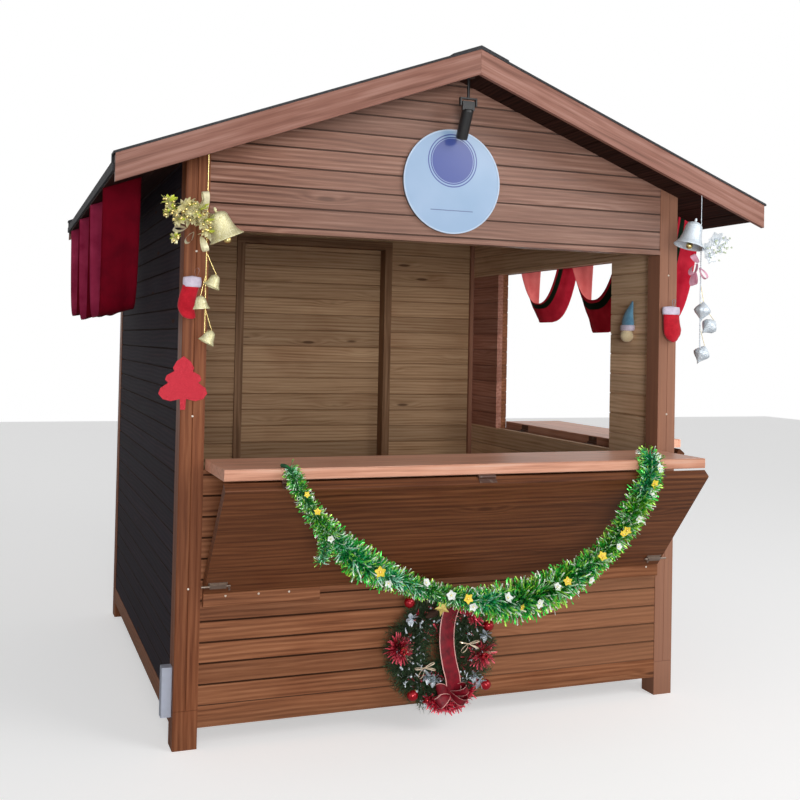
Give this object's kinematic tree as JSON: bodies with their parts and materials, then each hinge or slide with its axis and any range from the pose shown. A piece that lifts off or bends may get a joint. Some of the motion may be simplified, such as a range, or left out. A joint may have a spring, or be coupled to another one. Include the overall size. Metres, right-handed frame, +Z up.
{
  "type": "wooden market hut",
  "caption": "Gable-roofed timber market hut with fold-down serving flaps at the front and one side, a back door, festive cloth swags and a wreath.",
  "frame": {"origin": "ground level, under the middle of the hut's bounding box in plan", "axes": "+Z up, -Y is the front with the wide counter, +X is the side with the second counter"},
  "size_m": [2.8644, 2.6164, 2.7085],
  "materials": {
    "stained_wood": "semi-gloss stain",
    "barge_wood": "semi-gloss stain",
    "deck_wood": "semi-gloss stain",
    "pine": "oiled",
    "felt": "mineral felt",
    "black_steel": "black powder coat",
    "sign_face": "satin print",
    "cloth": "woven",
    "wreath_green": "tinsel",
    "zinc": "zinc plate",
    "gilt": "gilt",
    "string_gold": "twisted",
    "tinsel": "foil tinsel on twisted wire",
    "red_glitter": "glitter",
    "white_plastic": "moulded"
  },
  "bodies": {
    "hut": {"back_wall_left": "stained_wood", "back_wall_over": "stained_wood", "back_wall_right": "stained_wood", "bargeboards_front": "barge_wood", "bargeboards_rear": "barge_wood", "base_frame": "stained_wood", "bell_string_left": "string_gold", "bell_string_right": "string_gold", "bells": "gilt", "counter_front": "stained_wood", "counter_right": "stained_wood", "door_frame": "pine", "door_hinges": "black_steel", "drop_leaf_front": "stained_wood", "drop_leaf_right": "stained_wood", "eave_drips": "felt", "floor": "pine", "fold_hinges": "zinc", "front_gable_wall": "stained_wood", "front_lower_wall": "stained_wood", "garland": "tinsel", "lamp_rod": "black_steel", "leaf_bolts": "zinc", "ledgers": "stained_wood", "left_wall": "stained_wood", "post_box": "white_plastic", "post_front_left": "stained_wood", "post_front_right": "stained_wood", "post_rear_left": "stained_wood", "post_rear_right": "stained_wood", "ridge_cap": "felt", "right_wall_front": "stained_wood", "right_wall_lower": "stained_wood", "right_wall_over": "stained_wood", "right_wall_rear": "stained_wood", "roof_deck_left": "deck_wood", "roof_deck_right": "deck_wood", "roofing_left": "felt", "roofing_right": "felt", "sign_disc": "sign_face", "sill_hinges": "zinc", "sprays": "gilt", "swag_left_front": "cloth", "swag_left_rear": "cloth", "swag_right_front": "cloth", "swag_right_rear": "cloth", "tree_plaque": "red_glitter", "verge_battens": "deck_wood", "verge_felt": "felt", "wreath": "wreath_green"},
    "door": {"door_handle": "black_steel", "door_leaf": "pine", "door_straps": "black_steel"},
    "lamp": {"lamp_head": "black_steel"}
  },
  "joints": [
    {"name": "door_swing", "type": "hinge", "parent": "hut", "child": "door", "pos_m": [-0.48655, 1.22805, 1.1], "axis": [0, 0, 1], "range_deg": [0, 100]},
    {"name": "lamp_tilt", "type": "hinge", "parent": "hut", "child": "lamp", "pos_m": [-0.04255, -1.03995, 2.505], "axis": [1, 0, 0], "range_deg": [-40, 10]}
  ]
}
